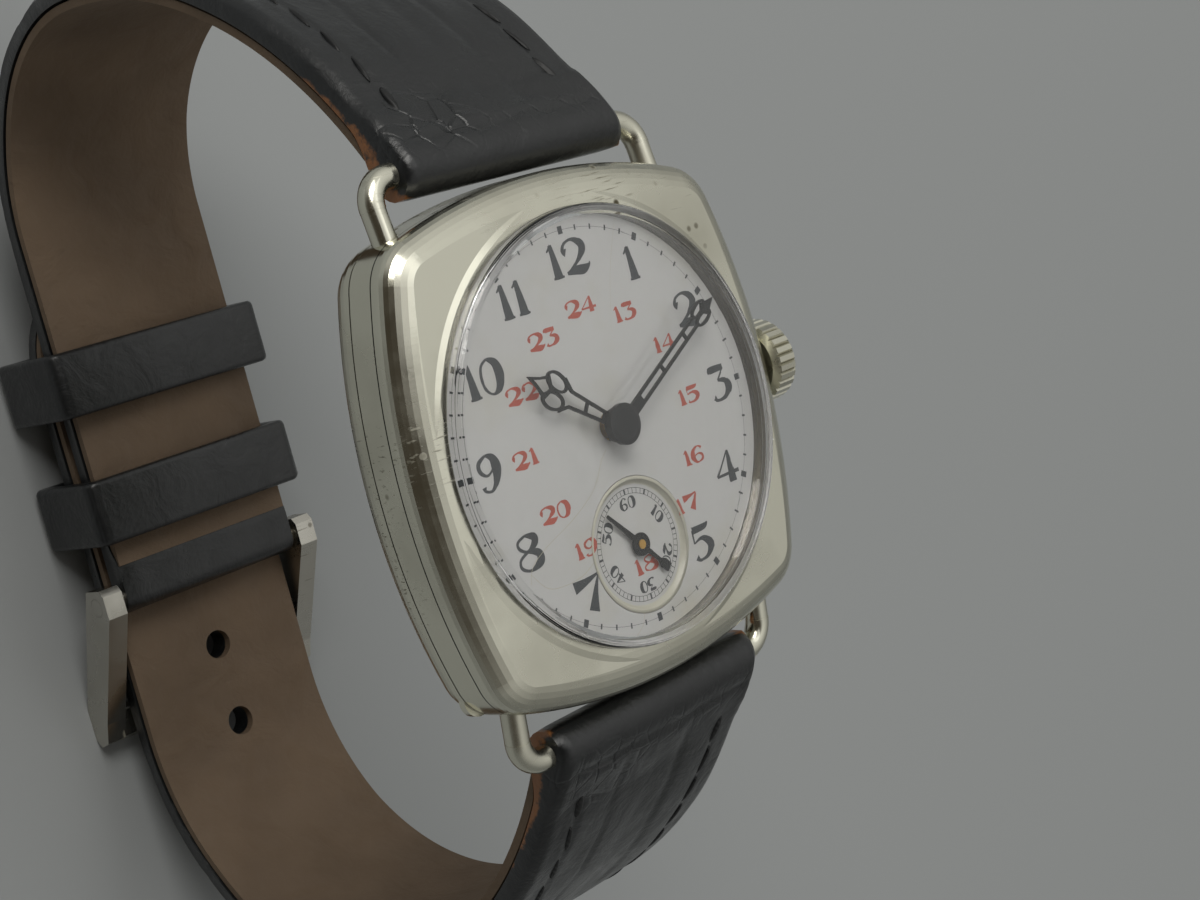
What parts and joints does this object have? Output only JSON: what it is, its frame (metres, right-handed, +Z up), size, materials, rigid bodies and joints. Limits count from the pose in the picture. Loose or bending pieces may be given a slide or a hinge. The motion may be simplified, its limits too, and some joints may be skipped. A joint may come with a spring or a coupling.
{
  "type": "trench watch",
  "caption": "Cushion-cased wristwatch with fixed wire lugs, domed crystal, enamel dial, small seconds and a leather strap buckled in a loop.",
  "frame": {"origin": "on the surface that the buckle and the keepers rest on, straight below the centre of the dial", "axes": "+Z up, out through the dial; +Y towards twelve o'clock; +X towards three o'clock and the crown"},
  "size_m": [0.0359, 0.0752, 0.0569],
  "materials": {
    "silver": "polished, slightly tarnished silver",
    "steel": "polished steel",
    "blued_steel": "blued steel",
    "gilt_brass": "gilt",
    "enamel": "glossy white vitreous enamel",
    "crystal": "clear, polished",
    "ruby": "polished",
    "black_leather": "worn black, creased",
    "tan_leather": "worn tan suede side",
    "nickel": "nickel plate"
  },
  "bodies": {
    "head": {"middle_case": "silver", "lug_wire_top": "silver", "lug_wire_bottom": "silver", "case_screws": "blued_steel", "dial": "enamel", "seconds_dial": "enamel", "main_plate": "gilt_brass", "barrel_bridge": "gilt_brass", "train_bridge": "gilt_brass", "balance_cock": "gilt_brass", "pallet_bridge": "gilt_brass", "regulator": "steel", "jewels": "ruby", "bridge_screws": "blued_steel", "click_spring": "steel", "hairspring": "blued_steel", "strap_buckle_side": "black_leather", "lining_buckle_side": "tan_leather", "strap_tail_side": "black_leather", "lining_tail_side": "tan_leather", "buckle_frame": "nickel", "buckle_bar": "nickel", "buckle_tang": "nickel", "fixed_keeper": "black_leather"},
    "front": {"bezel": "silver", "crystal": "crystal"},
    "back": {"back_cover": "silver"},
    "winding": {"winding_pinion": "steel"},
    "crown": {"crown": "silver", "stem": "steel"},
    "clutch": {"clutch": "steel"},
    "setting_lever": {"setting_lever": "steel"},
    "crown_wheel": {"crown_wheel": "steel"},
    "ratchet": {"ratchet_wheel": "steel", "ratchet_screw": "blued_steel", "barrel_arbor": "steel"},
    "click": {"click": "steel"},
    "barrel": {"mainspring_barrel": "gilt_brass", "mainspring": "steel"},
    "centre": {"centre_wheel": "gilt_brass", "cannon_pinion": "steel", "minute_hand": "blued_steel"},
    "third": {"third_wheel": "gilt_brass"},
    "fourth": {"fourth_wheel": "gilt_brass", "seconds_hand": "blued_steel"},
    "escape": {"escape_wheel": "steel"},
    "pallet": {"pallet_fork": "steel"},
    "balance": {"balance_wheel": "gilt_brass"},
    "minute_wheel": {"minute_wheel": "gilt_brass"},
    "hour": {"hour_wheel": "gilt_brass", "hour_hand": "blued_steel"},
    "setting_wheel": {"setting_wheel": "steel"},
    "keeper": {"sliding_keeper": "black_leather"}
  },
  "joints": [
    {"name": "front_snap", "type": "slide", "parent": "head", "child": "front", "axis": [0, 0, 1], "range_m": [0, 0.02]},
    {"name": "back_snap", "type": "slide", "parent": "head", "child": "back", "axis": [0, 0, -1], "range_m": [0, 0.02]},
    {"name": "crown_turn", "type": "hinge", "parent": "head", "child": "winding", "pos_m": [0.01035, 0, 0.05167], "axis": [1, 0, 0], "continuous": true},
    {"name": "crown_pull", "type": "slide", "parent": "winding", "child": "crown", "axis": [1, 0, 0], "range_m": [0, 0.0007]},
    {"name": "clutch_slide", "type": "slide", "parent": "winding", "child": "clutch", "axis": [-1, 0, 0], "range_m": [0, 0.00035]},
    {"name": "setting_lever_turn", "type": "hinge", "parent": "head", "child": "setting_lever", "pos_m": [0.01015, 0.0029, 0.05257], "axis": [0, 0, -1], "range_deg": [0, 7]},
    {"name": "crown_wheel_turn", "type": "hinge", "parent": "head", "child": "crown_wheel", "pos_m": [0.0076, 0, 0.04867], "axis": [0, 0, -1], "continuous": true},
    {"name": "ratchet_turn", "type": "hinge", "parent": "head", "child": "ratchet", "pos_m": [0.00231, 0.00634, 0.04867], "axis": [0, 0, -1], "continuous": true},
    {"name": "click_lift", "type": "hinge", "parent": "head", "child": "click", "pos_m": [-0.00375, 0.00956, 0.04867], "axis": [0, 0, -1], "range_deg": [0, 14]},
    {"name": "barrel_turn", "type": "hinge", "parent": "head", "child": "barrel", "pos_m": [0.00231, 0.00634, 0.05007], "axis": [0, 0, -1], "continuous": true},
    {"name": "centre_turn", "type": "hinge", "parent": "head", "child": "centre", "pos_m": [0, 0, 0.05007], "axis": [0, 0, -1], "continuous": true},
    {"name": "third_turn", "type": "hinge", "parent": "head", "child": "third", "pos_m": [0.00263, -0.00419, 0.05007], "axis": [0, 0, -1], "continuous": true},
    {"name": "fourth_turn", "type": "hinge", "parent": "head", "child": "fourth", "pos_m": [0, -0.0078, 0.05007], "axis": [0, 0, -1], "continuous": true},
    {"name": "escape_turn", "type": "hinge", "parent": "head", "child": "escape", "pos_m": [-0.00361, -0.00683, 0.05007], "axis": [0, 0, -1], "continuous": true},
    {"name": "pallet_swing", "type": "hinge", "parent": "head", "child": "pallet", "pos_m": [-0.00558, -0.00522, 0.05007], "axis": [0, 0, -1], "range_deg": [-5, 5]},
    {"name": "balance_swing", "type": "hinge", "parent": "head", "child": "balance", "pos_m": [-0.0095, -0.002, 0.05007], "axis": [0, 0, -1], "range_deg": [-220, 220]},
    {"name": "minute_wheel_turn", "type": "hinge", "parent": "head", "child": "minute_wheel", "pos_m": [0.00197, 0.00072, 0.05257], "axis": [0, 0, -1], "continuous": true},
    {"name": "hour_turn", "type": "hinge", "parent": "head", "child": "hour", "pos_m": [0, 0, 0.05307], "axis": [0, 0, -1], "continuous": true},
    {"name": "setting_wheel_turn", "type": "hinge", "parent": "head", "child": "setting_wheel", "pos_m": [0.00523, -0.0001, 0.05257], "axis": [0, 0, -1], "continuous": true},
    {"name": "keeper_slide", "type": "slide", "parent": "head", "child": "keeper", "axis": [0, 1, 0], "range_m": [-0.004, 0.0025]}
  ],
  "couplings": [
    {"joint": "centre_turn", "follows": "fourth_turn", "ratio": 0.016667},
    {"joint": "third_turn", "follows": "fourth_turn", "ratio": -0.13333},
    {"joint": "escape_turn", "follows": "fourth_turn", "ratio": -10},
    {"joint": "barrel_turn", "follows": "fourth_turn", "ratio": -0.0020833},
    {"joint": "minute_wheel_turn", "follows": "fourth_turn", "ratio": -0.0055556},
    {"joint": "hour_turn", "follows": "fourth_turn", "ratio": 0.0013889},
    {"joint": "setting_wheel_turn", "follows": "fourth_turn", "ratio": 0.004902},
    {"joint": "crown_wheel_turn", "follows": "crown_turn", "ratio": 0.5},
    {"joint": "ratchet_turn", "follows": "crown_turn", "ratio": -0.25},
    {"joint": "clutch_slide", "follows": "crown_pull", "ratio": 0.5},
    {"joint": "setting_lever_turn", "follows": "crown_pull", "rad_per_m": 172}
  ]
}
